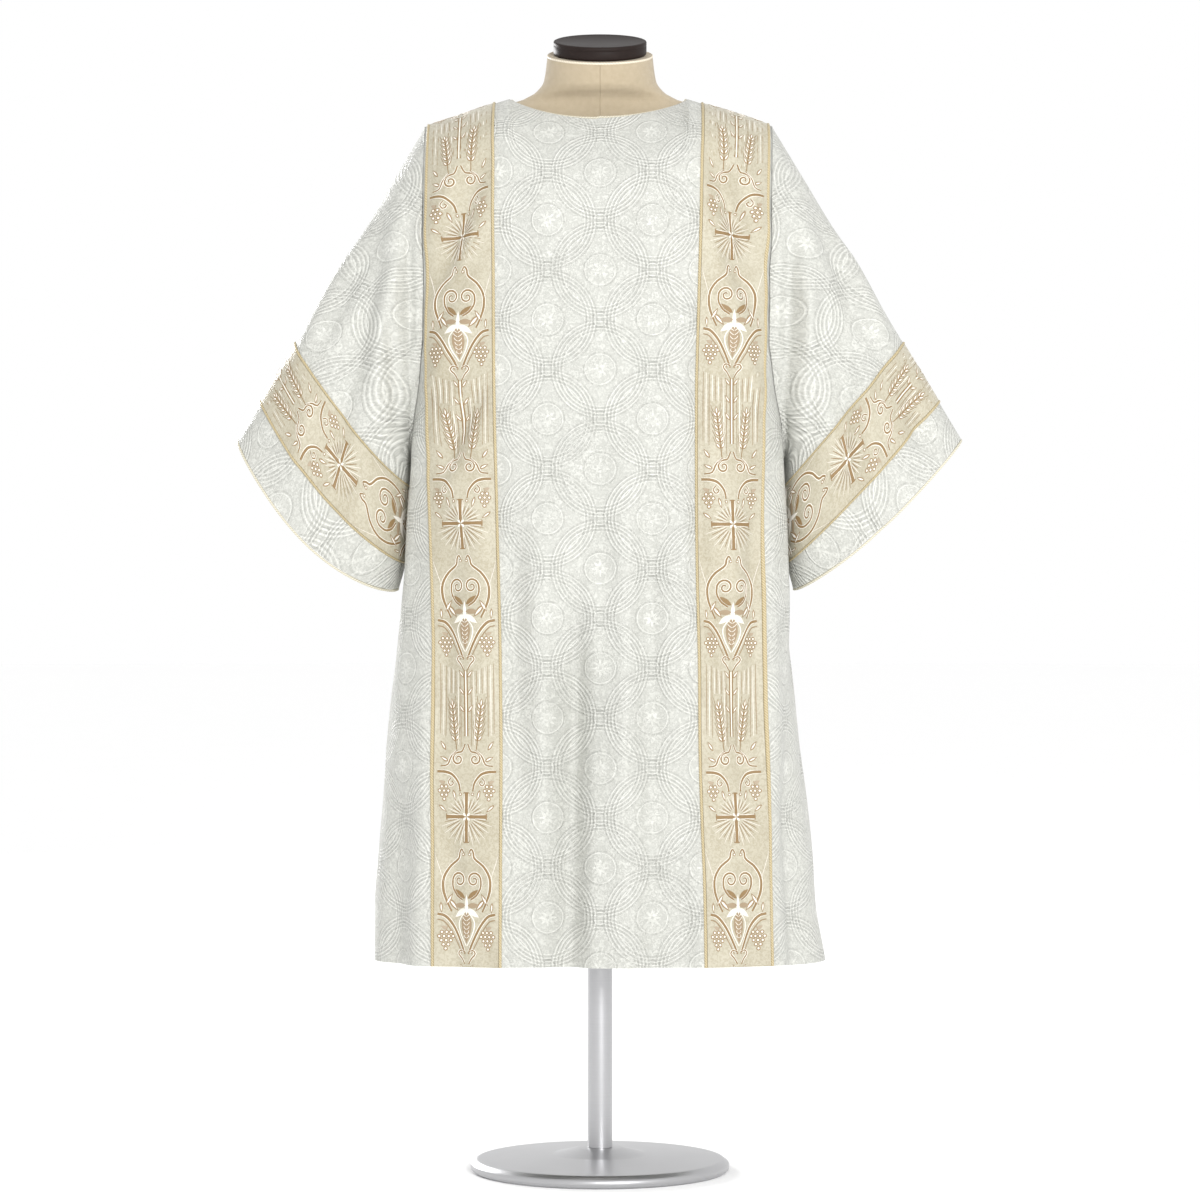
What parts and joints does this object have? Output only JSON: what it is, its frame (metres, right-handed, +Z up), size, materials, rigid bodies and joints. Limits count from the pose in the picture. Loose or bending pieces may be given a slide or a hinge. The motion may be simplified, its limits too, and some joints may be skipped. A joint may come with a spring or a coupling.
{
  "type": "dalmatic on dress form",
  "caption": "Ivory damask dalmatic with wide sleeves, woven vertical bands and sleeve bands, hanging hollow on a limbless dress form with a pole and round base.",
  "frame": {"origin": "middle of the stand's underside, on the surface it stands on", "axes": "+Z up, the front faces -Y, +X is the wearer's left (right of the picture)"},
  "size_m": [0.9414, 0.336, 1.4838],
  "materials": {
    "ivory_damask": "ivory damask, satin figure on a dull ground",
    "woven_band": "champagne satin band with a woven gold-brown pattern",
    "gold_piping": "fine pale gold piping",
    "linen": "plain natural linen weave",
    "dark_cap": "dark brown, satin",
    "stand_metal": "plain satin steel"
  },
  "bodies": {
    "root": {"back_panel": "ivory_damask", "band_back_left": "woven_band", "band_back_right": "woven_band", "band_front_left": "woven_band", "band_front_right": "woven_band", "cuff_edging_left": "gold_piping", "cuff_edging_right": "gold_piping", "form_cap": "dark_cap", "form_torso": "linen", "front_panel": "ivory_damask", "neck_binding": "gold_piping", "piping_back_left_inner": "gold_piping", "piping_back_left_outer": "gold_piping", "piping_back_right_inner": "gold_piping", "piping_back_right_outer": "gold_piping", "piping_front_left_inner": "gold_piping", "piping_front_left_outer": "gold_piping", "piping_front_right_inner": "gold_piping", "piping_front_right_outer": "gold_piping", "sleeve_band_left": "woven_band", "sleeve_band_right": "woven_band", "sleeve_left": "ivory_damask", "sleeve_piping_left_lower": "gold_piping", "sleeve_piping_left_upper": "gold_piping", "sleeve_piping_right_lower": "gold_piping", "sleeve_piping_right_upper": "gold_piping", "sleeve_right": "ivory_damask", "stand_base": "stand_metal", "stand_pole": "stand_metal"}
  },
  "joints": []
}
